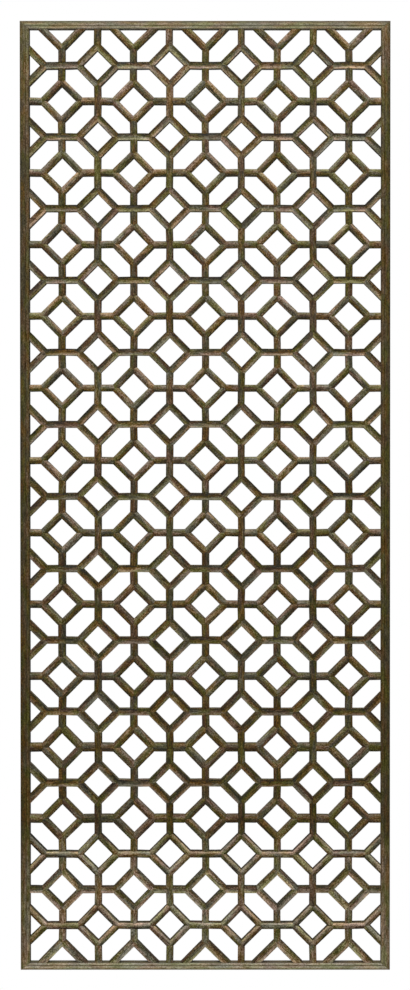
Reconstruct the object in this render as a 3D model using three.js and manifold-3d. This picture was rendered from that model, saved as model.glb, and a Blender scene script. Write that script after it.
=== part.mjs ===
// Wooden lattice wall panel: a moulded frame of two rails and two stiles, filled with an
// open fretwork of squares set on their corners and small crosses, one at every grid point.
// Millimetres, +Z up, the front faces -Y, and the back of the frame lies on y = 0.
// The origin is the middle of the top rail's back face, where the panel hangs.

import * as THREE from 'three';
import { mergeVertices } from 'three/addons/utils/BufferGeometryUtils.js';
import Module from 'manifold-3d';

const wasm = await Module();
wasm.setup();

// Lattice grid
const PITCH = 72.65; // from one crossing to the next, both ways
const COLUMNS = 10; // grid spaces between the stiles
const ROWS = 26; // grid spaces between the rails
const SIDE_OVERLAP = 6.45; // the stiles cover this much of the outermost grid spaces
const END_MARGIN = 1.85; // the rails stand this far outside the outermost grid lines

// Strips of the lattice
const STRIP_WIDTH = 14.7;
const STRIP_DEPTH = 20; // from the back to the middle of the front
const SQUARE_REACH = 39.2; // from a square's centre to the middle of its corner

// Frame
const RAIL_FACE = 14.7;
const STILE_FACE = 17.7;
const FRAME_DEPTH = 26;
const LATTICE_SET_IN = 3; // the lattice's back stands this far in front of the frame's back
const GAP = 0.3; // joint line between neighbouring pieces

// Moulding of the frame's face: places as shares of its width, heights above its back
const OUTER_EDGE_HEIGHT = 21.5;
const GROOVE_AT = 0.63;
const GROOVE_HEIGHT = 23.4;
const INNER_EDGE_HEIGHT = 23; // level with the front of the lattice
const BEAD_STEPS = 6;

const MERGE_WITHIN = 0.01; // faces and edges that lie closer than this to one line become one

// Worked out from the dimensions above
const INNER_WIDTH = COLUMNS * PITCH - 2 * SIDE_OVERLAP;
const OUTER_WIDTH = INNER_WIDTH + 2 * STILE_FACE;
const GRID_HEIGHT = ROWS * PITCH;
const INNER_HEIGHT = GRID_HEIGHT + 2 * END_MARGIN;
const OUTER_HEIGHT = INNER_HEIGHT + 2 * RAIL_FACE;
const CORNER_HALF = (STRIP_WIDTH / 2) * Math.SQRT2; // half a strip measured through a mitre
const SQUARE_OUTER = SQUARE_REACH + CORNER_HALF;
const SQUARE_INNER = SQUARE_REACH - CORNER_HALF;
const ARM = PITCH - SQUARE_REACH; // from a crossing to the middle of the next square's corner
const BACK_Y = -LATTICE_SET_IN;
const FRONT_Y = BACK_Y - STRIP_DEPTH;

// Finishes: old elm, its lacquer worn to an olive brown, greyer where light and dust lie
const woodOf = (name, color, roughness) =>
  new THREE.MeshStandardMaterial({ name, color, roughness, metalness: 0 });
const latticeWood = woodOf('lattice_elm', 0x5b5039, 0.72);
const railWood = woodOf('rail_elm', 0x756b52, 0.75);
const stileWood = woodOf('stile_elm', 0x4a4230, 0.72);

// A closed solid from a geometry, ready to be cut or joined
function toSolid(geometry) {
  const bare = geometry.clone();
  bare.deleteAttribute('normal');
  bare.deleteAttribute('uv');
  const merged = mergeVertices(bare);
  const mesh = new wasm.Mesh({
    numProp: 3,
    vertProperties: new Float32Array(merged.attributes.position.array),
    triVerts: new Uint32Array(merged.index.array),
  });
  return new wasm.Manifold(mesh);
}

// The geometry of a finished solid, with each flat face made of as few triangles as it needs
function toGeometry(solid) {
  const mesh = solid.asOriginal().simplify(MERGE_WITHIN).getMesh();
  const indexed = new THREE.BufferGeometry();
  indexed.setAttribute('position', new THREE.BufferAttribute(mesh.vertProperties, 3));
  indexed.setIndex(new THREE.BufferAttribute(mesh.triVerts, 1));
  const geometry = indexed.toNonIndexed();
  geometry.computeVertexNormals();
  return geometry;
}

// A shape's prism with its width, height and length laid along three given directions
function prism(shape, length, across, up, along) {
  const geometry = new THREE.ExtrudeGeometry(shape, { depth: length, bevelEnabled: false });
  geometry.applyMatrix4(new THREE.Matrix4().makeBasis(across, up, along));
  return geometry;
}

const polygon = (points) => new THREE.Shape(points.map(([x, y]) => new THREE.Vector2(x, y)));
const LEFT = new THREE.Vector3(-1, 0, 0);
const RIGHT = new THREE.Vector3(1, 0, 0);
const FRONT = new THREE.Vector3(0, -1, 0);
const UP = new THREE.Vector3(0, 0, 1);
const DOWN = new THREE.Vector3(0, 0, -1);

// A block that a piece is cut with or kept within, from its corners in x and z
function cutter(points) {
  const block = prism(polygon(points), 2 * FRAME_DEPTH, RIGHT, UP, FRONT);
  return toSolid(block.translate(0, FRAME_DEPTH / 2, 0));
}

// Every strip has one section, deeper than it is wide
const stripSection = polygon([
  [-STRIP_WIDTH / 2, 0],
  [STRIP_WIDTH / 2, 0],
  [STRIP_WIDTH / 2, STRIP_DEPTH],
  [-STRIP_WIDTH / 2, STRIP_DEPTH],
]);

function levelStrip(start, end) {
  const strip = prism(stripSection, end - start, UP, FRONT, RIGHT);
  return toSolid(strip.translate(start, BACK_Y, 0));
}

function uprightStrip(start, end) {
  const strip = prism(stripSection, end - start, LEFT, FRONT, UP);
  return toSolid(strip.translate(0, BACK_Y, start));
}

// Four mitred strips set as a square on its corner: a lathe of four sides has those mitres
function squareRing() {
  const profile = [
    [SQUARE_OUTER, FRONT_Y],
    [SQUARE_OUTER, BACK_Y],
    [SQUARE_INNER, BACK_Y],
    [SQUARE_INNER, FRONT_Y],
    [SQUARE_OUTER, FRONT_Y],
  ].map(([radius, y]) => new THREE.Vector2(radius, y));
  return toSolid(new THREE.LatheGeometry(profile, 4));
}

// The notch that seats a strip's end over the corner of the square above or below it
const NOTCH_REACH = SQUARE_OUTER + GAP * Math.SQRT2;
const notchAt = (z) =>
  cutter([
    [-NOTCH_REACH, z],
    [0, z - NOTCH_REACH],
    [NOTCH_REACH, z],
    [0, z + NOTCH_REACH],
  ]);
const notches = notchAt(PITCH).add(notchAt(-PITCH));

const ring = squareRing();
const uprightBar = uprightStrip(-ARM, ARM).subtract(notches);
const levelBar = levelStrip(-ARM, ARM);

// A whole row of the lattice, joined by its level strips and trimmed between the stiles
function latticeRow(parity) {
  const parts = [];
  for (let column = 0; column <= COLUMNS; column += 1) {
    const place = [(column - COLUMNS / 2) * PITCH, 0, 0];
    const isSquare = (column + parity) % 2 === 1;
    const isBesideStile = column === 0 || column === COLUMNS;
    if (isSquare) {
      parts.push(ring.translate(place));
    } else {
      parts.push(levelBar.translate(place));
      if (!isBesideStile) parts.push(uprightBar.translate(place));
    }
  }
  const reach = INNER_WIDTH / 2 - GAP;
  const between = cutter([
    [-reach, -PITCH],
    [reach, -PITCH],
    [reach, PITCH],
    [-reach, PITCH],
  ]);
  return parts.reduce((row, part) => row.add(part)).intersect(between);
}

// Half squares and short strips that hang from the top rail, cut off at its inner edge
const railCut = END_MARGIN - GAP;
const belowHeight = (z) =>
  cutter([
    [-PITCH, -PITCH],
    [PITCH, -PITCH],
    [PITCH, z],
    [-PITCH, z],
  ]);

// The sides of a half square run on past its side corners, straight up to the rail
function sideUpToRail(direction) {
  const outline = polygon([
    [direction * SQUARE_INNER, 0],
    [direction * SQUARE_OUTER, 0],
    [direction * (SQUARE_OUTER + railCut), railCut],
    [direction * (SQUARE_INNER + railCut), railCut],
  ]);
  return toSolid(prism(outline, STRIP_DEPTH, RIGHT, UP, FRONT).translate(0, BACK_Y, 0));
}

const railStub = toGeometry(uprightBar.intersect(belowHeight(railCut)));
const railHalfSquare = toGeometry(
  ring.intersect(belowHeight(0)).add(sideUpToRail(-1)).add(sideUpToRail(1)),
);

// The moulding of the frame: a broad bead, a groove and a narrower bead along the opening
function mouldingShape(face) {
  const shape = new THREE.Shape();
  shape.moveTo(0, 0);
  shape.lineTo(0, OUTER_EDGE_HEIGHT);
  const bead = (start, startHeight, end, endHeight) => {
    for (let step = 1; step <= BEAD_STEPS; step += 1) {
      const share = step / BEAD_STEPS;
      const foot = startHeight + (endHeight - startHeight) * share;
      const round = Math.sqrt(Math.max(0, 1 - (2 * share - 1) ** 2));
      const height = foot + (FRAME_DEPTH - foot) * round;
      shape.lineTo((start + (end - start) * share) * face, height);
    }
  };
  bead(0, OUTER_EDGE_HEIGHT, GROOVE_AT, GROOVE_HEIGHT);
  bead(GROOVE_AT, GROOVE_HEIGHT, 1, INNER_EDGE_HEIGHT);
  shape.lineTo(face, 0);
  return shape;
}

// A frame member lying level with its outer edge up, mitred to meet members of another face
function frameMember(length, face, otherFace) {
  const moulding = prism(mouldingShape(face), length, DOWN, FRONT, LEFT);
  const stick = toSolid(moulding.translate(length / 2, 0, face / 2));
  const outer = length / 2 - (GAP / 2) * (Math.hypot(face, otherFace) / face);
  const inner = outer - otherFace;
  const overrun = 0.5; // the mitre block runs past both edges, as shares of the face
  const spread = overrun * otherFace;
  const top = face * (0.5 + overrun);
  const mitres = cutter([
    [-inner + spread, -top],
    [inner - spread, -top],
    [outer + spread, top],
    [-outer - spread, top],
  ]);
  return toGeometry(stick.intersect(mitres));
}

const panel = new THREE.Group();

function place(group, name, geometry, material, x, z, turn) {
  const mesh = new THREE.Mesh(geometry, material);
  mesh.name = name;
  mesh.position.set(x, 0, z);
  mesh.rotation.y = turn;
  group.add(mesh);
}

// Frame
const frame = new THREE.Group();
const rail = frameMember(OUTER_WIDTH, RAIL_FACE, STILE_FACE);
const stile = frameMember(OUTER_HEIGHT, STILE_FACE, RAIL_FACE);
const bottomZ = -(INNER_HEIGHT + RAIL_FACE);
const stileX = (INNER_WIDTH + STILE_FACE) / 2;
place(frame, 'top_rail', rail, railWood, 0, 0, 0);
place(frame, 'bottom_rail', rail, railWood, 0, bottomZ, Math.PI);
place(frame, 'left_stile', stile, stileWood, -stileX, bottomZ / 2, -Math.PI / 2);
place(frame, 'right_stile', stile, stileWood, stileX, bottomZ / 2, Math.PI / 2);
panel.add(frame);

// Lattice, measured down from the grid line beside the top rail
const lattice = new THREE.Group();
lattice.position.z = -RAIL_FACE / 2 - END_MARGIN;
const rows = [0, 1].map((parity) => toGeometry(latticeRow(parity)));
for (let row = 1; row < ROWS; row += 1) {
  const name = `lattice_row_${String(row).padStart(2, '0')}`;
  place(lattice, name, rows[row % 2], latticeWood, 0, -row * PITCH, 0);
}
for (let column = 1; column < COLUMNS; column += 1) {
  const x = (column - COLUMNS / 2) * PITCH;
  const isSquare = column % 2 === 1;
  const kind = isSquare ? 'half_square' : 'stub';
  const geometry = isSquare ? railHalfSquare : railStub;
  const number = Math.ceil(column / 2);
  place(lattice, `top_${kind}_${number}`, geometry, latticeWood, x, 0, 0);
  place(lattice, `bottom_${kind}_${number}`, geometry, latticeWood, x, -GRID_HEIGHT, Math.PI);
}
panel.add(lattice);

export default panel;
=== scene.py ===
# %% [markdown]
# An old lattice wall panel, dressed in Blender.
# The real panel is a joiner's piece: a narrow moulded frame of elm, filled with hundreds of
# short sticks. Four sticks make a square that stands on its corner, and a small cross joins
# each square to its neighbours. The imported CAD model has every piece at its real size.
# This script loads that model first and then builds the finer pieces in the same places.

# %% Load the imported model
import math
import random

import bpy
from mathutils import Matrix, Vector, noise


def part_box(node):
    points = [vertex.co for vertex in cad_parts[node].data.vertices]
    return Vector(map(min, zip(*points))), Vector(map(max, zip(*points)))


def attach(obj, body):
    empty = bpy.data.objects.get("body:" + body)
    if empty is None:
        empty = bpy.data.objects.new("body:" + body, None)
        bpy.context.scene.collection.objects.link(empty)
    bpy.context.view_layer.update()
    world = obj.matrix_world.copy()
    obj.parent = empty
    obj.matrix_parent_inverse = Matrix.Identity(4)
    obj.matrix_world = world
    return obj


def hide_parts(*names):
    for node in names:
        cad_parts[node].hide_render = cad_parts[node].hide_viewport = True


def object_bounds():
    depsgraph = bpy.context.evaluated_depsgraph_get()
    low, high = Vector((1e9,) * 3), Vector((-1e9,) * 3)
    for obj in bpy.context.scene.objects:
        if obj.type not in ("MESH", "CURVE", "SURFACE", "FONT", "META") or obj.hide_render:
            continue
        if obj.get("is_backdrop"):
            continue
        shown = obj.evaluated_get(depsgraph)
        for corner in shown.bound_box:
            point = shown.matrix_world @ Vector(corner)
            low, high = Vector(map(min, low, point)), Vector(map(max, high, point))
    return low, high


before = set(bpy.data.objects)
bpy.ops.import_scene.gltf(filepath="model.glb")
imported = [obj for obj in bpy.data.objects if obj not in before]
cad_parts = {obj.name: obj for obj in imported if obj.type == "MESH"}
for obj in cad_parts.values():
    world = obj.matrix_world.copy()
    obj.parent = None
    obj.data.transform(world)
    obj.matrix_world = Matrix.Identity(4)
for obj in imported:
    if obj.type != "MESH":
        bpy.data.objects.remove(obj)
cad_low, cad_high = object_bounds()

print("CAD box, metres:", tuple(cad_low), tuple(cad_high))

# %% [markdown]
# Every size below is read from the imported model, so that the pieces drop into place without
# any fitting. A stub gives the stick's width and depth, two rows give the spacing, and a half
# square gives the reach of a square's corner. Blender works in metres, and so does the model.

# %% Measure the frame
MM = 0.001
stub_low, stub_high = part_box("top_stub_1")
HALF = (stub_high.x - stub_low.x) / 2
BACK_Y = stub_high.y
FRONT_Y = stub_low.y


def row_height(row):
    low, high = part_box(f"lattice_row_{row:02d}")
    return (low.z + high.z) / 2


PITCH = row_height(1) - row_height(2)
GRID_TOP = row_height(1) + PITCH
inner_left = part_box("left_stile")[1].x
inner_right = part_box("right_stile")[0].x
inner_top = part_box("top_rail")[0].z
inner_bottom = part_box("bottom_rail")[1].z
COLUMNS = round((inner_right - inner_left) / PITCH)
ROWS = round((inner_top - inner_bottom) / PITCH)
SQUARE_REACH = GRID_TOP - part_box("top_half_square_1")[0].z - HALF * math.sqrt(2)
print(f"{COLUMNS} by {ROWS} grid spaces of {PITCH / MM:.2f} mm, sticks {2 * HALF / MM:.1f} mm wide")
print(f"a square's corners lie {SQUARE_REACH / MM:.2f} mm from its centre")

# %% [markdown]
# Colours are written as sRGB hex values, the way a paint chart gives them. Cycles mixes light
# in linear values, so one function turns the one into the other.

# %% Turn a hex colour into linear values


def linear(hex_colour):
    shares = [int(hex_colour[k : k + 2], 16) / 255 for k in (1, 3, 5)]
    return [s / 12.92 if s <= 0.04045 else ((s + 0.055) / 1.055) ** 2.4 for s in shares]


def rgba(hex_colour):
    return (*linear(hex_colour), 1.0)


print("linear values of a mid olive brown:", [round(v, 3) for v in linear("#5b5039")])

# %% [markdown]
# A material is a small network of nodes. One helper adds a node, sets its options, and either
# fills its inputs with values or links them to other nodes' outputs. Inputs are named, or
# numbered where a node has several of one name. Many steps here turn one range of values into
# another, so the names of those inputs are kept in a list.

# %% Add one shader node


def add(tree, kind, inputs=None, **options):
    made = tree.nodes.new("ShaderNode" + kind)
    for name, value in options.items():
        setattr(made, name, value)
    for name, value in (inputs or {}).items():
        if isinstance(value, bpy.types.NodeSocket):
            tree.links.new(value, made.inputs[name])
        else:
            made.inputs[name].default_value = value
    return made


MIX_A, MIX_B, MIX_RESULT = 6, 7, 2
RANGE = ("Value", "From Min", "From Max", "To Min", "To Max")
print("node helper ready")

# %% [markdown]
# The wood is old elm, planed and lacquered by hand. Elm is coarse, and its figure runs along
# the stick. The mesh carries each point's place in the stick as an attribute called grain,
# and every pattern below is a noise in that place, drawn out along the length. That could be
# done with UV maps, but an attribute in metres keeps the pattern at its real scale with
# nothing to unwrap. Elm's own pores are too fine for the picture, so streaks and pores are
# drawn as coarse as they need to be to show.

# %% Draw the figure of the wood
STREAK, STREAK_RUN = 2.4 * MM, 22 * MM
PORE, PORE_RUN = 1.8 * MM, 2.8 * MM
PATCH, PATCH_RUN = 9 * MM, 30 * MM
BLEED, BLEED_RUN = 14 * MM, 55 * MM
FINER = {"Scale": 1.0, "Detail": 3.0, "Roughness": 0.65}


def figure(tree, run, width, seed):
    """A noise along the grain; run and width are the size of its spots in metres"""
    grain = add(tree, "Attribute", attribute_name="grain").outputs["Vector"]
    scale = (1 / run, 1 / width, 1 / width)
    place = add(tree, "VectorMath", {0: grain, 1: scale}, operation="MULTIPLY").outputs[0]
    inputs = {"Vector": place, "W": seed, **FINER}
    return add(tree, "TexNoise", inputs, noise_dimensions="4D").outputs["Fac"]


print(f"streaks {STREAK / MM:.1f} mm wide, patches {PATCH / MM:.0f} mm, bleeds {BLEED / MM:.0f} mm")

# %% [markdown]
# How light the finish is depends on several things at once, and they multiply: the streaks
# and pores of the wood, patches of dust and worn lacquer, and the stick's own shade. Each
# mesh carries that shade as an attribute called tone, and tone also carries painted shade:
# darker sides, a darkening row by row, paler last rows and the shades across the frame. The
# sticks also have painted light along one edge and painted shade along the other, and the
# two edges change places from row to row. A second attribute carries that painted light and
# shade. The noises count for less on the painted light edge than on the painted dark one.
# The border between the two edges wanders a little with the patches.

# %% Work out how light the finish is
LEAN_WANDER = 0.9
EVENED = -0.5
STREAKS_USUAL, STREAKS_SHADE = (0.37, 0.63), (0.47, 1.53)
PORES_USUAL, PORES_SHADE = (0.41, 0.59), (0.35, 1.65)
PATCHES_USUAL, PATCHES_SHADE = (0.37, 0.63), (0.75, 1.25)


def finish_light(tree, patches, streaks, pores, edge_contrast, unevenness):
    tone = add(tree, "Attribute", attribute_name="tone").outputs["Fac"]
    # The second attribute is painted light and shade: one edge of a stick lighter, the other darker
    painted_light = add(tree, "Attribute", attribute_name="painted_light").outputs["Fac"]
    wander = (patches, 0.0, 1.0, -LEAN_WANDER / 2, LEAN_WANDER / 2)
    offset = add(tree, "MapRange", dict(zip(RANGE, wander))).outputs[0]
    edge = add(tree, "Math", {0: painted_light, 1: offset}, operation="ADD").outputs[0]
    edge_light = add(tree, "Math", {0: edge_contrast, 1: edge}, operation="POWER").outputs[0]
    light = add(tree, "Math", {0: tone, 1: edge_light}, operation="MULTIPLY").outputs[0]
    # The noises show less where an edge is painted light
    evened = add(tree, "Math", {0: edge_light, 1: EVENED}, operation="POWER").outputs[0]
    strength = add(tree, "Math", {0: evened, 1: unevenness}, operation="MULTIPLY").outputs[0]
    parts = (
        (streaks, *STREAKS_USUAL, *STREAKS_SHADE),
        (pores, *PORES_USUAL, *PORES_SHADE),
        (patches, *PATCHES_USUAL, *PATCHES_SHADE),
    )
    for part in parts:
        share = add(tree, "MapRange", dict(zip(RANGE, part))).outputs[0]
        share = add(tree, "Math", {0: share, 1: strength}, operation="POWER").outputs[0]
        light = add(tree, "Math", {0: light, 1: share}, operation="MULTIPLY").outputs[0]
    return light


print("three noises, the worn edge and the stick's own shade decide how light a spot is")

# %% [markdown]
# The lacquer has aged unevenly. It is olive where it has gone dull and rust red where it has
# bled, and each of the two is yellower where it is thick and greyer where dust has settled
# in it. That gives four colours, mixed by two noises that don't depend on each other. Dark
# spots are thick lacquer and so more saturated, and light spots are dust and so greyer. The
# light value also holds the painted light and shade, so edges and sides painted dark turn
# more saturated too, and edges painted light greyer.

# %% Mix the four colours of the lacquer
DARK_SPOT_LIGHT, PALE_SPOT_LIGHT = 0.3, 2.2
DARK_SPOT_SATURATION, PALE_SPOT_SATURATION = 1.27, 0.66
TO_RUST = 0.43, 0.6, 0.0, 1.0
TO_GREY = 0.42, 0.58, 0.0, 1.0


def lacquer_colour(tree, colours, light):
    yellow_olive, grey_olive, yellow_rust, grey_rust = [rgba(colour) for colour in colours]
    bled = figure(tree, BLEED_RUN, BLEED, seed=4.0)
    dusted = figure(tree, BLEED_RUN, BLEED, seed=9.0)
    rust_share = add(tree, "MapRange", dict(zip(RANGE, (bled, *TO_RUST)))).outputs[0]
    grey_share = add(tree, "MapRange", dict(zip(RANGE, (dusted, *TO_GREY)))).outputs[0]
    pairs = []
    for yellow, grey in ((yellow_olive, grey_olive), (yellow_rust, grey_rust)):
        mix = add(tree, "Mix", {0: grey_share, MIX_A: yellow, MIX_B: grey}, data_type="RGBA")
        pairs.append(mix.outputs[MIX_RESULT])
    inputs = {0: rust_share, MIX_A: pairs[0], MIX_B: pairs[1]}
    wood = add(tree, "Mix", inputs, data_type="RGBA").outputs[MIX_RESULT]
    # The light value holds painted light and shade too, so it also sets the saturation of those places
    dark_to_pale = (light, DARK_SPOT_LIGHT, PALE_SPOT_LIGHT, DARK_SPOT_SATURATION, PALE_SPOT_SATURATION)
    saturation = add(tree, "MapRange", dict(zip(RANGE, dark_to_pale))).outputs[0]
    aged = add(tree, "HueSaturation", {"Saturation": saturation, "Color": wood}).outputs[0]
    return add(tree, "VectorMath", {0: aged, "Scale": light}, operation="SCALE").outputs[0]


print("lacquer mixer ready")

# %% [markdown]
# Three materials share this recipe: elm whose hand-laid lacquer has been rubbed thin. Two
# numbers go with each. The first says how much lighter the painted light edge is than the
# middle of a stick, and the second how strongly the noises show, for dust hides much of them.
# The lacquer is worn through in places, so the roughness runs from satin to nearly matt, and
# the streaks and patches stand up by a few tenths of a millimetre. Wood and old lacquer both
# lie near the default index of refraction, but the surface hardly shines, so the specular
# level is low.

# %% Make the aged elm
SATIN, MATT = 0.5, 0.88
SATIN_BELOW, MATT_ABOVE = 0.3, 0.7
RELIEF, RELIEF_SHARE = 0.4 * MM, 0.5
DULL = 0.2


def aged_elm(name, colours, edge_contrast, unevenness):
    material = bpy.data.materials.new(name)
    material.use_nodes = True
    tree = material.node_tree
    tree.nodes.clear()
    patches = figure(tree, PATCH_RUN, PATCH, seed=0.0)
    streaks = figure(tree, STREAK_RUN, STREAK, seed=2.0)
    pores = figure(tree, PORE_RUN, PORE, seed=6.0)
    light = finish_light(tree, patches, streaks, pores, edge_contrast, unevenness)
    satin_to_matt = (patches, SATIN_BELOW, MATT_ABOVE, SATIN, MATT)
    relief = add(tree, "Math", {0: streaks, 1: patches}, operation="ADD").outputs[0]
    bump_inputs = {"Height": relief, "Strength": RELIEF_SHARE, "Distance": RELIEF}
    inputs = {
        "Base Color": lacquer_colour(tree, colours, light),
        "Roughness": add(tree, "MapRange", dict(zip(RANGE, satin_to_matt))).outputs[0],
        "Normal": add(tree, "Bump", bump_inputs).outputs["Normal"],
        "Specular IOR Level": DULL,
    }
    shader = add(tree, "BsdfPrincipled", inputs).outputs[0]
    add(tree, "OutputMaterial", {"Surface": shader})
    return material


LATTICE_COLOURS = ("#4f4b1a", "#4b4838", "#61461a", "#5b4432")
RAIL_COLOURS = ("#767451", "#74715f", "#816f51", "#7c6d5d")
STILE_COLOURS = ("#494518", "#48412c", "#584018", "#53402a")
# The lattice gives the olive brown seen most, speckled, with one painted light edge along each stick
lattice_elm = aged_elm("aged_elm_worn_lacquer", LATTICE_COLOURS, 2.1, 1.0)
# The rails are the palest and greyest, partly as painted light from the lamp above on their level beads
rail_elm = aged_elm("aged_elm_pale_rails_partly_painted_light", RAIL_COLOURS, 1.2, 0.5)
# The stiles are two dark upright lines, partly as painted shade, for their upright beads catch little
# light from above
stile_elm = aged_elm("aged_elm_dark_stiles_partly_painted_shade", STILE_COLOURS, 1.2, 0.75)
print("materials:", lattice_elm.name, rail_elm.name, stile_elm.name)

# %% [markdown]
# The lattice is a network. Sticks meet in joints: three at each corner of a square, four at
# each cross. Old panels are made by hand, so no joint sits exactly on the grid. Each one is
# moved by about a millimetre at most, and because the sticks run from joint to joint, they
# always meet, wherever the joints are. Moving each stick on its own would open gaps. The
# rows also drift: they sit a little high in the upper half and a little low in the lower. The
# whole lattice lies half a millimetre to the right of the frame's middle.

# %% Place the joints
WANDER = 0.6 * MM
ROW_WANDER = 0.5 * MM
LATTICE_RIGHT = 0.5 * MM
ROW_DRIFT = 1.8 * MM
DRIFT_FROM, DRIFT_TO = 1.5, 22.5
TOWARDS = {"left": (-1, 0), "right": (1, 0), "top": (0, 1), "bottom": (0, -1)}


def strayed(key, reach):
    return random.Random(key).uniform(-reach, reach)


def row_drift(row):
    share = (row - DRIFT_FROM) / (DRIFT_TO - DRIFT_FROM)
    return ROW_DRIFT * math.sin(2 * math.pi * min(1.0, max(0.0, share)))


def grid_point(column, row):
    x = (column - COLUMNS / 2) * PITCH + LATTICE_RIGHT
    z = GRID_TOP - row * PITCH + row_drift(row)
    return Vector((x, z + strayed(f"row {row}", ROW_WANDER)))


def joint_place(joint):
    column, row, side = joint
    place = grid_point(column, row)
    if side in TOWARDS:
        place = place + Vector(TOWARDS[side]) * SQUARE_REACH
    return place + Vector((strayed(f"{joint} x", WANDER), strayed(f"{joint} z", WANDER)))


print("corner of the first square:", tuple(joint_place((1, 2, "left"))))

# %% [markdown]
# Next the sticks. A square has four, and a cross has four arms that reach to the corners of
# the squares round it. Each stick is noted with its two joints, the CAD node that it belongs
# to, the side of the frame that cuts it off, if any, and the bar that it is a part of.

# %% Note the sticks of a square and of a cross
sticks = []
SQUARE_SIDES = ("left", "top"), ("top", "right"), ("right", "bottom"), ("bottom", "left")
BEYOND = {"x-": "left", "x+": "right", "z+": "top", "z-": "bottom"}


def add_stick(node, start, end, saw=None, bar=""):
    sticks.append({"node": node, "start": start, "end": end, "saw": saw, "bar": bar})


def is_square(column, row):
    return (column + row) % 2 == 1


def add_square(node, column, row, saw):
    for first, second in SQUARE_SIDES:
        if BEYOND.get(saw) not in (first, second):
            add_stick(node, (column, row, first), (column, row, second), saw)


def add_cross(node, column, row, arms, saw=None):
    neighbours = {
        "right": ((column + 1, row, "left"), "level"),
        "left": ((column - 1, row, "right"), "level"),
        "top": ((column, row - 1, "bottom"), "upright"),
        "bottom": ((column, row + 1, "top"), "upright"),
    }
    for arm in arms:
        far, bar = neighbours[arm]
        add_stick(node, (column, row, "cross"), far, saw, bar)


print("a square has", len(SQUARE_SIDES), "sticks and a cross has", len(TOWARDS), "arms")

# %% [markdown]
# The grid is filled row by row. Squares stand where column and row add up to an odd number,
# and crosses stand between them. The outermost sticks run on past the frame's inner edge and
# are sawn off there. Half squares and stubs along the rails have nodes of their own.

# %% List the sticks
for row in range(1, ROWS):
    node = f"lattice_row_{row:02d}"
    for column in range(COLUMNS + 1):
        saw = {0: "x-", COLUMNS: "x+"}.get(column)
        if is_square(column, row):
            add_square(node, column, row, saw)
        else:
            arms = {0: ["right"], COLUMNS: ["left"]}.get(column, list(TOWARDS))
            add_cross(node, column, row, arms, saw)
for column in range(1, COLUMNS):
    number = math.ceil(column / 2)
    for side, row, saw, arm in (("top", 0, "z+", "bottom"), ("bottom", ROWS, "z-", "top")):
        if is_square(column, row):
            add_square(f"{side}_half_square_{number}", column, row, saw)
        else:
            add_cross(f"{side}_stub_{number}", column, row, [arm], saw)
print(len(sticks), "sticks")

# %% [markdown]
# The end of a stick depends on its neighbours. So every joint first gets its place, and the
# directions in which sticks leave it are noted.

# %% Note what leaves each joint
places = {}
leaving = {}
for stick in sticks:
    for joint in (stick["start"], stick["end"]):
        places.setdefault(joint, joint_place(joint))
for stick in sticks:
    for joint, far in ((stick["start"], stick["end"]), (stick["end"], stick["start"])):
        direction = (places[far] - places[joint]).normalized()
        leaving.setdefault(joint, []).append(math.atan2(direction.y, direction.x))
print(len(places), "joints, with at most", max(len(angles) for angles in leaving.values()), "sticks each")

# %% [markdown]
# Where sticks meet, the joiner mitres them: each end is cut back along the line halfway to
# the next stick round the joint, so the shape of an end follows from the angles alone. In a
# cross one bar runs through and the other is notched over it, level bars through in the odd
# rows and upright ones in the even rows. A notched end always reaches a little way into the
# bar it meets, even into the narrowest one. Ends at the frame are sawn along its inner edge
# and let into it a little. All other ends press into each other by a hair, so no light shows.

# %% Work out how each end is cut
LAP = 0.76 * HALF
NOTCHED_BY = 0.92 * HALF
PRESS = 0.15 * MM
LET_IN = 0.8 * MM
SAW_LINES = {
    "x-": (0, inner_left - LET_IN),
    "x+": (0, inner_right + LET_IN),
    "z+": (1, inner_top + LET_IN),
    "z-": (1, inner_bottom - LET_IN),
}
FULL_TURN = 2 * math.pi
ITSELF = 1e-6


def mitre_slopes(joint, angle):
    """How fast an end draws back on its left and on its right, for each metre of width"""
    turns = sorted((other - angle) % FULL_TURN for other in leaving[joint])
    turns = [turn for turn in turns if ITSELF < turn < FULL_TURN - ITSELF]
    if not turns:
        return 0.0, 0.0
    return 1 / math.tan(turns[0] / 2), 1 / math.tan((FULL_TURN - turns[-1]) / 2)


def lap_of(joint, bar):
    """Positive where this bar runs through a cross, negative where it is notched"""
    if joint[2] != "cross":
        return 0.0
    through = "level" if joint[1] % 2 else "upright"
    return LAP if bar == through else -LAP


def cut_back(slope, across, lap):
    """How far the end is drawn back at a distance from the stick's middle"""
    reach = abs(across)
    if lap >= 0:
        return slope * max(0.0, reach - lap) * HALF / (HALF - lap)
    return min(NOTCHED_BY, -lap + slope * reach * (HALF + lap) / HALF)


print(f"the outermost sticks are let {LET_IN / MM:.1f} mm into the frame")

# %% [markdown]
# With those rules the two ends of a stick can be worked out at any distance from its middle
# line. A stick that ends at the frame has one end on the saw's line instead, whether that
# lies before the joint or a little beyond it.

# %% Find both ends of a stick


def ends_at(stick, across):
    start, end = places[stick["start"]], places[stick["end"]]
    along = (end - start).normalized()
    side = Vector((-along.y, along.x))
    angle = math.atan2(along.y, along.x)
    left = across > 0
    start_slope = mitre_slopes(stick["start"], angle)[0 if left else 1]
    end_slope = mitre_slopes(stick["end"], angle + math.pi)[1 if left else 0]
    first = cut_back(start_slope, across, lap_of(stick["start"], stick["bar"])) - PRESS
    last = (end - start).length + PRESS
    last -= cut_back(end_slope, across, lap_of(stick["end"], stick["bar"]))
    if stick["saw"]:
        axis, line = SAW_LINES[stick["saw"]]
        crossing = (line - start[axis] - side[axis] * across) / along[axis]
        outward = (along[axis] > 0) == (stick["saw"][1] == "+")
        return (first, crossing) if outward else (crossing, last)
    return first, last


middle = ends_at(sticks[0], 0.0)
print(f"the first stick runs from {middle[0] / MM:.2f} to {middle[1] / MM:.2f} mm along its middle")

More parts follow.
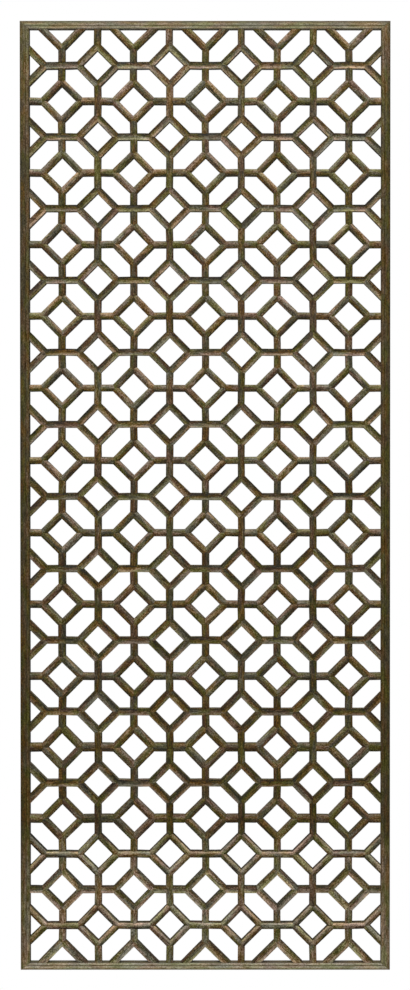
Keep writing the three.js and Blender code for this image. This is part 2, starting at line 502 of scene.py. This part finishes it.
# %% [markdown]
# A stick's section is deeper than it is wide. Its front is eased by wear and by the joiner's
# plane: a low curve that turns down at the edges. The section is a row of columns, each with
# a front and a back point, so that an end cut in a point still closes with flat faces. Along
# the stick the rings lie a few millimetres apart, which leaves room for the dents and the
# uneven edges of hand work. Just before an end the front drops a little, and that makes the
# fine dark line of a joint. Bars and squares were planed apart, so they differ a little in
# width. Many sticks of the lower rows came from broader stock, and most of those in the last
# three rows from narrower.

# %% Choose the section and the wear
ACROSS = (-1.0, -0.93, -0.76, -0.42, 0.0, 0.42, 0.76, 0.93, 1.0)
EASED = (2.6, 1.45, 0.85, 0.28, 0.0, 0.28, 0.85, 1.45, 2.6)
BACK_EASED = (0.7, 0.15, 0.0, 0.0, 0.0, 0.0, 0.0, 0.15, 0.7)
RING_SPACING = 5 * MM
JOINT_DROP = 0.3 * MM
JOINT_RUN = 0.6 * MM
DENT, SUNK = 0.22 * MM, 0.4
DENT_SPACING = 9 * MM
EDGE_WEAR, TO_THE_EDGE = 0.3 * MM, 4
GRAIN_SPREAD = 40
PLANED = {"": 0.955, "level": 0.985, "upright": 0.985}
STOCK = {
    "": dict.fromkeys(range(14, 20), 1.045) | {20: 1.1} | dict.fromkeys(range(23, 26), 0.93),
    "level": {20: 1.18, 22: 1.13, 23: 0.94, 24: 0.93, 25: 0.94},
    "upright": dict.fromkeys(range(15, 22), 1.05),
}
print("the front edges are eased by", EASED[0], "mm and the back ones by", BACK_EASED[0], "mm")

# %% [markdown]
# The rest is colour. Each stick has its own shade, uprights are a little darker, and the
# squares of the even rows are a little paler. Much of the rest is painted light and shade. In
# the even rows a stick's upper edge is painted light and its lower edge painted dark, and in
# the odd rows it is the other way round. Both are fainter in rows 15 to 22. The sides that
# look up are painted lighter and those that look down darker, the sides are painted dark
# towards the back as shade in the openings, and an edge above a side painted dark stays
# duller. The colour is painted darker row by row as far as row 22, as shade away from the
# light above. The last rows are painted paler, and there the painted light and dark edges
# and sides have changed places. The back was not handled much and is one even shade.

# %% Choose the shades
PALEST_TONE, DARKEST_TONE = 1.38, 0.86
UPRIGHT_TONE, EVEN_SQUARE_TONE = 0.79, 1.1
# How far each column across the front takes the painted edge light
PAINTED_LIGHT_SHARE = (-1.0, -1.0, -0.95, -0.6, 0.0, 0.6, 0.95, 1.0, 1.0)
# How strongly the edges are painted light and dark: even rows, odd rows, stick to stick, rows 15 on
EVEN_LEAN, ODD_LEAN = 1.22, 1.72
LEAN_SPREAD = 0.3
FADED_FROM_ROW, FADED_LEAN = 15, 0.74
# Sides that look up are painted lighter and sides that look down darker
SIDE_PAINTED_LIGHT = 1.0
# An edge above a side painted dark is painted less light
ARRIS_FROM, DARK_SIDE, ARRIS_LEAN = 0.9, -0.5, 0.5
# Sides are painted dark towards the back, as shade in the openings; the back is one plain shade
SIDE_PAINTED_SHADE, BACK_TONE = 0.5, 0.9
# Painted shade darker row by row; below row 22 the colour is painted paler and the painted light turns
# over
PAINTED_SHADE_PER_ROW = 0.011
LIGHT_TURNS_FROM_ROW, PALER_WITHIN = 22.4, 0.4
PAINTED_PALER, PALER_PER_ROW = 0.756, 0.1215


def painted_falloff(z):
    """How light the colour is painted at a height: painted shade darker row by row, then painted paler
    near the bottom
    """
    rows_down = (GRID_TOP - z) / PITCH
    below = rows_down - LIGHT_TURNS_FROM_ROW
    begun = min(1.0, max(0.0, below / PALER_WITHIN))
    return (1.0 - PAINTED_SHADE_PER_ROW * rows_down) * (1.0 + begun * (PAINTED_PALER + PALER_PER_ROW * below))


def painted_light_of(row):
    """Positive where the upper edge is painted light: in even rows, and changed over in the last rows"""
    painted_light = EVEN_LEAN if row % 2 == 0 else -ODD_LEAN
    if row > LIGHT_TURNS_FROM_ROW:
        return -painted_light
    return painted_light * FADED_LEAN if row >= FADED_FROM_ROW else painted_light


def shade_of(row, upward, k, front):
    """Painted light and tone at one column of the section; upward is positive where its left looks up"""
    # Painted light on the sides: those that look up are lighter, turned over in the last rows
    dusty = upward * ACROSS[k] * (-1 if row > LIGHT_TURNS_FROM_ROW else 1)
    if abs(ACROSS[k]) == 1.0:
        shaded_side = SIDE_PAINTED_SHADE * (1.0 + SIDE_PAINTED_LIGHT * max(0.0, dusty))
        return SIDE_PAINTED_LIGHT * dusty, 1.0 if front else shaded_side
    # Painted light on the front: one edge lighter and the other darker, by row
    painted_light = painted_light_of(row) * upward * PAINTED_LIGHT_SHARE[k] * front
    faded = FADED_FROM_ROW <= row < LIGHT_TURNS_FROM_ROW
    # An edge above a side painted dark gets less painted light
    if dusty < DARK_SIDE and abs(ACROSS[k]) > ARRIS_FROM and not faded:
        painted_light = min(painted_light, ARRIS_LEAN)
    return painted_light, 1.0 if front else BACK_TONE


print("paler at the bottom by", round(painted_falloff(cad_low.z), 2))

# %% [markdown]
# A stick is a row of rings with faces between them. The rings lie evenly along it, apart from
# one close to each end: between that one and the end the front drops into the joint line.

# %% Set out the rings and join them


def empty_mesh():
    return {"points": [], "faces": [], "grain": [], "tone": [], "painted_light": []}


def stations_of(length, start_drop):
    """Rings along a stick: share of the length, offset in metres, drop of the front"""
    rings = max(2, round(length / RING_SPACING))
    stations = [(0.0, 0.0, start_drop), (0.0, JOINT_RUN, 0.0)]
    stations += [(k / rings, 0.0, 0.0) for k in range(1, rings)]
    return stations + [(1.0, -JOINT_RUN, 0.0), (1.0, 0.0, JOINT_DROP)]


def close_stick(faces, base, rings):
    """Join the rings of a stick with faces, and close its two ends"""
    count = len(ACROSS)
    for s in range(rings - 1):
        low, high = base + s * 2 * count, base + (s + 1) * 2 * count
        for k in range(count - 1):
            faces.append((low + k, low + k + 1, high + k + 1, high + k))
            back, far = low + count + k, high + count + k
            faces.append((back, far, far + 1, back + 1))
        faces.append((low, high, high + count, low + count))
        faces.append((low + count - 1, low + 2 * count - 1, high + 2 * count - 1, high + count - 1))
    final = base + (rings - 1) * 2 * count
    for k in range(count - 1):
        faces.append((base + k, base + count + k, base + count + k + 1, base + k + 1))
        faces.append((final + k, final + k + 1, final + count + k + 1, final + count + k))


print("a stick as long as one grid space has", len(stations_of(PITCH, JOINT_DROP)), "rings")

# %% [markdown]
# Now one stick can be shaped. Both arms of a bar that runs through a cross are one piece of
# wood, so they take the same chance values, and the grain is counted from the cross in one
# direction through both. Two noises do the wear: one dents the front, and the other takes
# chips off the edges only, which is what the high power is for.

# %% Shape one stick


def shape_stick(mesh, stick):
    start, end = places[stick["start"]], places[stick["end"]]
    along = (end - start).normalized()
    side = Vector((-along.y, along.x))
    is_bar = stick["start"][2] == "cross"
    chance = random.Random(f"{stick['start']} {stick['bar'] if is_bar else stick['end']}")
    shift = Vector([chance.uniform(-GRAIN_SPREAD, GRAIN_SPREAD) for _ in range(3)]) * PITCH
    tone = chance.uniform(DARKEST_TONE, PALEST_TONE)
    tone *= UPRIGHT_TONE if stick["bar"] == "upright" else 1.0
    # Each stick's painted edge light is a little stronger or weaker
    own_lean = chance.uniform(1.0 - LEAN_SPREAD, 1.0 + LEAN_SPREAD)
    through = lap_of(stick["start"], stick["bar"]) > 0
    way = -1 if is_bar and along.x + along.y < 0 else 1
    row = stick["start"][1]
    tone *= EVEN_SQUARE_TONE if row % 2 == 0 and not is_bar else 1.0
    half = HALF * PLANED[stick["bar"]] * STOCK[stick["bar"]].get(row, 1.0)
    spans = [ends_at(stick, share * half) for share in ACROSS]
    middle_first, middle_last = spans[len(ACROSS) // 2]
    stations = stations_of(middle_last - middle_first, 0.0 if through else JOINT_DROP)
    base = len(mesh["points"])
    for share, offset, drop in stations:
        for front in (1.0, 0.0):
            for k, (first, last) in enumerate(spans):
                run = first + (last - first) * share + offset
                across = ACROSS[k] * half
                place = start + along * run + side * across
                rub = noise.noise(Vector((place.x, place.y, 0.0)) / DENT_SPACING + shift)
                chip = noise.noise(Vector((run * way, across * way, 0.0)) / DENT_SPACING + shift * 2)
                wear = EDGE_WEAR * max(0.0, chip) * ACROSS[k] ** TO_THE_EDGE
                place -= side * math.copysign(wear, ACROSS[k])
                if front:
                    depth = FRONT_Y + EASED[k] * MM + DENT * (rub + SUNK) + drop
                else:
                    depth = BACK_Y - BACK_EASED[k] * MM
                mesh["points"].append((place.x, depth, place.y))
                mesh["grain"].append((run * way + shift.x, across * way + shift.y, depth + shift.z))
                # Painted light and painted shade go into both values here
                painted_light, shade = shade_of(row, side.y, k, front)
                mesh["tone"].append(tone * painted_falloff(place.y) * shade)
                mesh["painted_light"].append(painted_light * own_lean)
    close_stick(mesh["faces"], base, len(stations))


trial = empty_mesh()
shape_stick(trial, sticks[0])
print("one stick has", len(trial["points"]), "points and", len(trial["faces"]), "faces")

# %% [markdown]
# A list of points and faces becomes a Blender object here. The three attributes go with it:
# grain is the place inside the stick, tone is the stick's own shade with painted shade in it,
# and the third says which edge of the front and which side are painted light and which dark.
# Then the piece gets its material, rides on the root, and its CAD part is hidden.

# %% Turn the shapes into pieces
SHARP = math.radians(38)


def make_piece(name, mesh, node, material):
    data = bpy.data.meshes.new(name)
    data.from_pydata(mesh["points"], [], mesh["faces"])
    for attribute in ("tone", "painted_light"):
        data.attributes.new(attribute, "FLOAT", "POINT").data.foreach_set("value", mesh[attribute])
    flat_grain = [value for point in mesh["grain"] for value in point]
    data.attributes.new("grain", "FLOAT_VECTOR", "POINT").data.foreach_set("vector", flat_grain)
    data.shade_smooth()
    data.set_sharp_from_angle(angle=SHARP)
    data.materials.append(material)
    piece = bpy.data.objects.new(name, data)
    bpy.context.scene.collection.objects.link(piece)
    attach(piece, "root")
    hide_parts(node)
    return piece


by_node = {}
for stick in sticks:
    shape_stick(by_node.setdefault(stick["node"], empty_mesh()), stick)
for node, mesh in by_node.items():
    make_piece(f"sticks_{node}", mesh, node, lattice_elm)
print(len(by_node), "lattice pieces,", sum(len(m["faces"]) for m in by_node.values()), "faces")

# %% [markdown]
# The frame is one moulding, planed on four lengths of wood and mitred at the corners: a broad
# bead, a narrow groove and a smaller bead that ends at the lattice. It is drawn as a section
# from the outer edge inwards and swept along each length, and its beads are rounder here than
# in the CAD model. The stiles are a little wider than the rails, so the section is given in
# shares of the width, and the mitre runs from corner to corner. The third number of each
# point is its shade, and it is painted light and shade. The rails are painted pale on their
# crests and darker at the outer edge and in the groove, while the stiles are painted dark
# outside and pale in the groove, against the shade that falls there, and along the lattice.
# The sides are painted darkest, as shade in the openings, and the back is a plain even shade.
# A bead rises along a fourth power, which gives it round shoulders and a top that is nearly
# flat.

# %% Draw the frame's section
OUTER_EDGE = 21.5 * MM
GROOVE_AT, GROOVE = 0.62, 23.4 * MM
INNER_EDGE = 23 * MM
UNDER_EDGE = 0.8 * MM
BACK_CHAMFER, CHAMFER_SHARE = 0.5 * MM, 0.03
BACK_FROM, BACK_TO = 0.2, 0.8
BEAD_POINTS, BEAD_POWER = 12, 4
PALEST_AT, SHADE_POWER = 0.72, 3
# Painted light and shade across each bead: at its start, at its palest point and at its end
RAIL_PAINTED_SHADES = (0.58, 1.32, 0.95), (0.9, 1.35, 1.2)
STILE_PAINTED_SHADES = (0.75, 0.8, 1.3), (1.15, 0.92, 1.25)
MEMBER_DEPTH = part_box("top_rail")[1].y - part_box("top_rail")[0].y


def bead(start, start_height, end, end_height, shades):
    points = []
    for k in range(1, BEAD_POINTS + 1):
        share = k / BEAD_POINTS
        foot = start_height + (end_height - start_height) * share
        rise = 1 - (2 * share - 1) ** BEAD_POWER
        # The shade along a bead is painted light and shade
        before = shades[0] + (shades[1] - shades[0]) * (share / PALEST_AT) ** SHADE_POWER
        after = shades[1] + (shades[2] - shades[1]) * (share - PALEST_AT) / (1 - PALEST_AT)
        shade = before if share < PALEST_AT else after
        points.append((start + (end - start) * share, foot + (MEMBER_DEPTH - foot) * rise, shade))
    return points


def moulding(shades):
    outer_side = [(CHAMFER_SHARE, 0.0), (0.0, BACK_CHAMFER)]
    outer_side += [(0.0, OUTER_EDGE / 2), (0.0, OUTER_EDGE - UNDER_EDGE)]
    inner_side = [(1.0, INNER_EDGE - UNDER_EDGE), (1.0, INNER_EDGE / 2), (1.0, 0.0)]
    # Side points get the painted shade of the openings, back points the plain back shade
    points = [(*place, SIDE_PAINTED_SHADE) for place in outer_side] + [(0.0, OUTER_EDGE, shades[0][0])]
    points += bead(0.0, OUTER_EDGE, GROOVE_AT, GROOVE, shades[0])
    points += bead(GROOVE_AT, GROOVE, 1.0, INNER_EDGE, shades[1])
    points += [(*place, SIDE_PAINTED_SHADE) for place in inner_side]
    return points + [(BACK_TO, 0.0, BACK_TONE), (BACK_FROM, 0.0, BACK_TONE)]


print("the moulding has", len(moulding(RAIL_PAINTED_SHADES)), "points on its section")

# %% [markdown]
# Each member starts from its CAD box, and the side of the panel it is on says which way its
# outer edge looks. The four were planed by eye. Three faces are wider than in the CAD model,
# by up to a millimetre and a half, and the bottom one is a little narrower. The outer edges
# stay where they are, so the whole difference is on the inside.

# %% Measure the four members
SIDES = {"top_rail": (0, 1), "bottom_rail": (0, -1), "left_stile": (-1, 0), "right_stile": (1, 0)}
WIDER = {"top_rail": 1.5 * MM, "bottom_rail": -0.5 * MM, "left_stile": 1.3 * MM, "right_stile": 0.7 * MM}
face_widths = {}
for node, outward in SIDES.items():
    low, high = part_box(node)
    face = abs(Vector((high.x - low.x, high.z - low.z)).dot(Vector(outward)))
    face_widths[outward] = face + WIDER[node]
print("faces, mm:", [round(face / MM, 1) for face in face_widths.values()])

# %% [markdown]
# The members have shades of their own, and they are painted light and shade. The bottom rail
# is painted paler than the top one, which is nearer to the lamp above. The stiles are painted
# palest over the last thirty centimetres at both ends, and between them they carry the same
# painted darkening row by row as the lattice.

# %% Choose the shades of the members
# Painted light: the bottom rail paler than the top one, the stiles paler at both ends
RAIL_TONES = {"top_rail": 1.1, "bottom_rail": 1.44}
STILE_TONE = 1.06
STILE_END = 0.3
TOP_PALER, BOTTOM_PALER = 0.75, 0.6


def stile_tone(z):
    """The painted shade of a stile at a height, painted paler towards both ends"""
    to_top = max(0.0, 1.0 - (cad_high.z - z) / STILE_END)
    to_bottom = max(0.0, 1.0 - (z - cad_low.z) / STILE_END)
    return STILE_TONE * painted_falloff(z) * (1.0 + TOP_PALER * to_top**2 + BOTTOM_PALER * to_bottom**2)


print("a stile at its ends:", round(stile_tone(cad_high.z), 2), round(stile_tone(cad_low.z), 2))

# %% [markdown]
# Now the section is swept along a member, ring by ring. Its inner edge is shorter than its
# outer one by the faces of its two neighbours, and that makes the mitres. Like the sticks,
# the members are dented, and their grain runs along them.

# %% Sweep the section along a member
MEMBER_RING = 11 * MM
MEMBER_DENT = 0.3 * MM
panel_middle = Vector(((cad_low.x + cad_high.x) / 2, (cad_low.z + cad_high.z) / 2))


def close_member(faces, rings, count):
    """Join the rings of a member with faces, and close its two ends"""
    for s in range(rings - 1):
        low, high = s * count, (s + 1) * count
        for k in range(count):
            nxt = (k + 1) % count
            faces.append((low + k, high + k, high + nxt, low + nxt))
    final = (rings - 1) * count
    faces.append(tuple(range(count)))
    faces.append(tuple(final + k for k in reversed(range(count))))


def shape_member(node):
    high_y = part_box(node)[1].y
    outward = Vector(SIDES[node])
    along = Vector((-outward.y, outward.x))
    face, first_face, last_face = [face_widths[tuple(way)] for way in (outward, -along, along)]
    reach = Vector(((cad_high.x - cad_low.x) / 2, (cad_high.z - cad_low.z) / 2))
    half_length, to_edge = abs(reach.dot(along)), abs(reach.dot(outward))
    chance = random.Random(node)
    shift = Vector([chance.uniform(-GRAIN_SPREAD, GRAIN_SPREAD) for _ in range(3)]) * PITCH
    section = moulding(RAIL_PAINTED_SHADES if node in RAIL_TONES else STILE_PAINTED_SHADES)
    mesh = empty_mesh()
    rings = round(2 * half_length / MEMBER_RING)
    # As for a stick: share of the length, offset in metres, drop of the front
    stations = [(0.0, 0.0, JOINT_DROP), (0.0, JOINT_RUN, 0.0)]
    stations += [(k / rings, 0.0, 0.0) for k in range(1, rings)]
    stations += [(1.0, -JOINT_RUN, 0.0), (1.0, 0.0, JOINT_DROP)]
    for share, offset, drop in stations:
        for inward, height, shade in section:
            first = inward * first_face - half_length
            last = half_length - inward * last_face
            run = first + (last - first) * share + offset
            across = to_edge - inward * face
            place = panel_middle + along * run + outward * across
            rub = noise.noise(Vector((place.x, place.y, height)) / (2 * DENT_SPACING) + shift)
            worn = MEMBER_DENT * max(0.0, rub) + drop if height >= OUTER_EDGE else 0.0
            mesh["points"].append((place.x, high_y - height + worn, place.y))
            mesh["grain"].append((run + shift.x, across + shift.y, height + shift.z))
            # The tone here is painted light and shade, across the section and along the member
            mesh["tone"].append(shade * (RAIL_TONES.get(node) or stile_tone(place.y)))
            mesh["painted_light"].append(0.0)
    close_member(mesh["faces"], len(stations), len(section))
    return mesh


print("the panel's middle is at", round(panel_middle.x, 3), round(panel_middle.y, 3), "m")

# %% [markdown]
# The four members are made with it, the rails in one material and the stiles in another.

# %% Make the four members
for node in SIDES:
    mesh = shape_member(node)
    slot, material = ("rails", rail_elm) if node in RAIL_TONES else ("stiles", stile_elm)
    make_piece(f"moulded_{node}", mesh, node, material)
    print(f"moulded_{node}:", len(mesh["faces"]), "faces")

# %% [markdown]
# The panel hangs on a wall, so nothing touches the floor. The floor is a pale sheet well
# below it, kept short enough to stay out of the front view. Its matt paint gives an even
# ground that takes soft shadows and mirrors nothing.

# %% Lay the floor
FLOOR_DROP = 0.4
FLOOR_HALF_WIDTH = 1.7
FLOOR_FRONT = -2.0
FLOOR_BACK = 1.3
MOTTLE = {"Scale": 3.0, "Detail": 4.0}
FLOOR_PAINT, FLOOR_PAINT_PALER, FLOOR_MATT = "#efefed", "#f7f7f5", 0.8


def make_floor():
    z = cad_low.z - FLOOR_DROP
    corners = [
        (-FLOOR_HALF_WIDTH, FLOOR_FRONT, z),
        (FLOOR_HALF_WIDTH, FLOOR_FRONT, z),
        (FLOOR_HALF_WIDTH, FLOOR_BACK, z),
        (-FLOOR_HALF_WIDTH, FLOOR_BACK, z),
    ]
    data = bpy.data.meshes.new("pale_floor")
    data.from_pydata(corners, [], [(0, 1, 2, 3)])
    material = bpy.data.materials.new("matt_pale_floor_paint")
    material.use_nodes = True
    tree = material.node_tree
    tree.nodes.clear()
    place = add(tree, "NewGeometry").outputs["Position"]
    mottle = add(tree, "TexNoise", {"Vector": place, **MOTTLE}).outputs["Fac"]
    inputs = {0: mottle, MIX_A: rgba(FLOOR_PAINT), MIX_B: rgba(FLOOR_PAINT_PALER)}
    paint = add(tree, "Mix", inputs, data_type="RGBA").outputs[MIX_RESULT]
    shader = add(tree, "BsdfPrincipled", {"Base Color": paint, "Roughness": FLOOR_MATT}).outputs[0]
    add(tree, "OutputMaterial", {"Surface": shader})
    data.materials.append(material)
    floor = bpy.data.objects.new("pale_floor", data)
    bpy.context.scene.collection.objects.link(floor)
    floor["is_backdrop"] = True
    return floor


print("floor at", round(make_floor().data.vertices[0].co.z, 3), "m")

# %% [markdown]
# Light: the picture is lit softly from above. The upper rows are clearly brighter than the
# lower ones, and the shadows are faint. So a broad lamp hangs in front of the panel, higher
# than its top and a little to the left, and a white surround fills in the rest. The camera
# sees the surround as plain white, and the panel gets only a part of that as light.

# %% Light the studio
SURROUND_LIGHT = 0.45
LAMP_FORWARD, LAMP_ABOVE, LAMP_LEFT = 2.8, 1.1, 0.3
LAMP_SIZE, LAMP_POWER = 1.4, 80


def make_surround():
    world = bpy.data.worlds.new("white_surround")
    world.use_nodes = True
    tree = world.node_tree
    tree.nodes.clear()
    seen = add(tree, "LightPath").outputs["Is Camera Ray"]
    soft = add(tree, "Background", {"Color": (1, 1, 1, 1), "Strength": SURROUND_LIGHT})
    white = add(tree, "Background", {"Color": (1, 1, 1, 1), "Strength": 1.0})
    both = add(tree, "MixShader", {0: seen, 1: soft.outputs[0], 2: white.outputs[0]})
    add(tree, "OutputWorld", {"Surface": both.outputs[0]})
    bpy.context.scene.world = world


def add_lamp(name, place, target, power, width):
    data = bpy.data.lights.new(name, "AREA")
    data.energy = power
    data.size = width
    lamp = bpy.data.objects.new(name, data)
    lamp.location = place
    lamp.rotation_euler = (Vector(target) - Vector(place)).to_track_quat("-Z", "Y").to_euler()
    bpy.context.scene.collection.objects.link(lamp)
    return lamp


centre = (cad_low + cad_high) / 2
make_surround()
lamp_place = (-LAMP_LEFT, cad_low.y - LAMP_FORWARD, cad_high.z + LAMP_ABOVE)
add_lamp("high_soft_lamp", lamp_place, centre, LAMP_POWER, LAMP_SIZE)
print("surround and one lamp")

# %% [markdown]
# The camera stands about five metres away, slightly above and to the right of the panel's
# middle, and looks down by less than a degree. The picture tells that: the sides of the sticks
# show a little more towards the top and bottom, and the rows are a little wider apart at the
# top. The lens is chosen so that the panel has its height in the picture, and a small shift
# brings it to its place. The panel's edges in the picture are given in pixels.

# %% Choose where the camera stands
PICTURE_WIDTH, PICTURE_HEIGHT = 410, 990
PANEL_LEFT, PANEL_RIGHT = 20.4, 389.9
PANEL_TOP, PANEL_BOTTOM = 20.5, 970.3
CAMERA_DISTANCE = 4.8
CAMERA_RIGHT = 0.09
CAMERA_UP = 0.2
LOOK_DOWN = math.radians(0.7)


def seen_at(x, z):
    """Where a point of the front plane is seen, as slopes right and up from the view axis"""
    up, ahead = z - CAMERA_UP - centre.z, CAMERA_DISTANCE
    depth = ahead * math.cos(LOOK_DOWN) - up * math.sin(LOOK_DOWN)
    height = ahead * math.sin(LOOK_DOWN) + up * math.cos(LOOK_DOWN)
    return (x - CAMERA_RIGHT) / depth, height / depth


print("the panel's top is seen at a slope of", round(seen_at(0, cad_high.z)[1], 4))

# %% [markdown]
# The slopes give the lens and the shift. Blender counts a shift in shares of the picture's
# longer side, which is its height here, and the sensor's width belongs to that side too. The
# plain view transform keeps the colours as they were mixed.

# %% Set the camera
SENSOR = 36.0


def make_camera():
    top, bottom = seen_at(0, cad_high.z)[1], seen_at(0, cad_low.z)[1]
    left, right = seen_at(cad_low.x, centre.z)[0], seen_at(cad_high.x, centre.z)[0]
    pixels = (PANEL_BOTTOM - PANEL_TOP) / (top - bottom)
    data = bpy.data.cameras.new("picture_camera")
    data.sensor_width = SENSOR
    data.lens = SENSOR * pixels / PICTURE_HEIGHT
    middle_x = (PANEL_LEFT + PANEL_RIGHT) / 2 - PICTURE_WIDTH / 2
    middle_y = (PANEL_TOP + PANEL_BOTTOM) / 2 - PICTURE_HEIGHT / 2
    data.shift_x = ((left + right) / 2 * pixels - middle_x) / PICTURE_HEIGHT
    data.shift_y = ((top + bottom) / 2 * pixels + middle_y) / PICTURE_HEIGHT
    camera = bpy.data.objects.new("picture_camera", data)
    camera.location = (CAMERA_RIGHT, cad_low.y - CAMERA_DISTANCE, centre.z + CAMERA_UP)
    camera.rotation_euler = (math.radians(90) - LOOK_DOWN, 0, 0)
    bpy.context.scene.collection.objects.link(camera)
    bpy.context.scene.camera = camera
    return camera


view = bpy.context.scene.view_settings
view.view_transform = "Standard"
view.look = "None"
lens = make_camera().data
print(f"lens {lens.lens:.1f} mm, shift {lens.shift_x:.4f} and {lens.shift_y:.4f}")

# %% [markdown]
# Last, the dressed panel's box is printed, to go with the CAD model's box printed at the start.
# They should differ by no more than the wear.

# %% Print the dressed box
low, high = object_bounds()
print("dressed box, metres:", tuple(low), tuple(high))
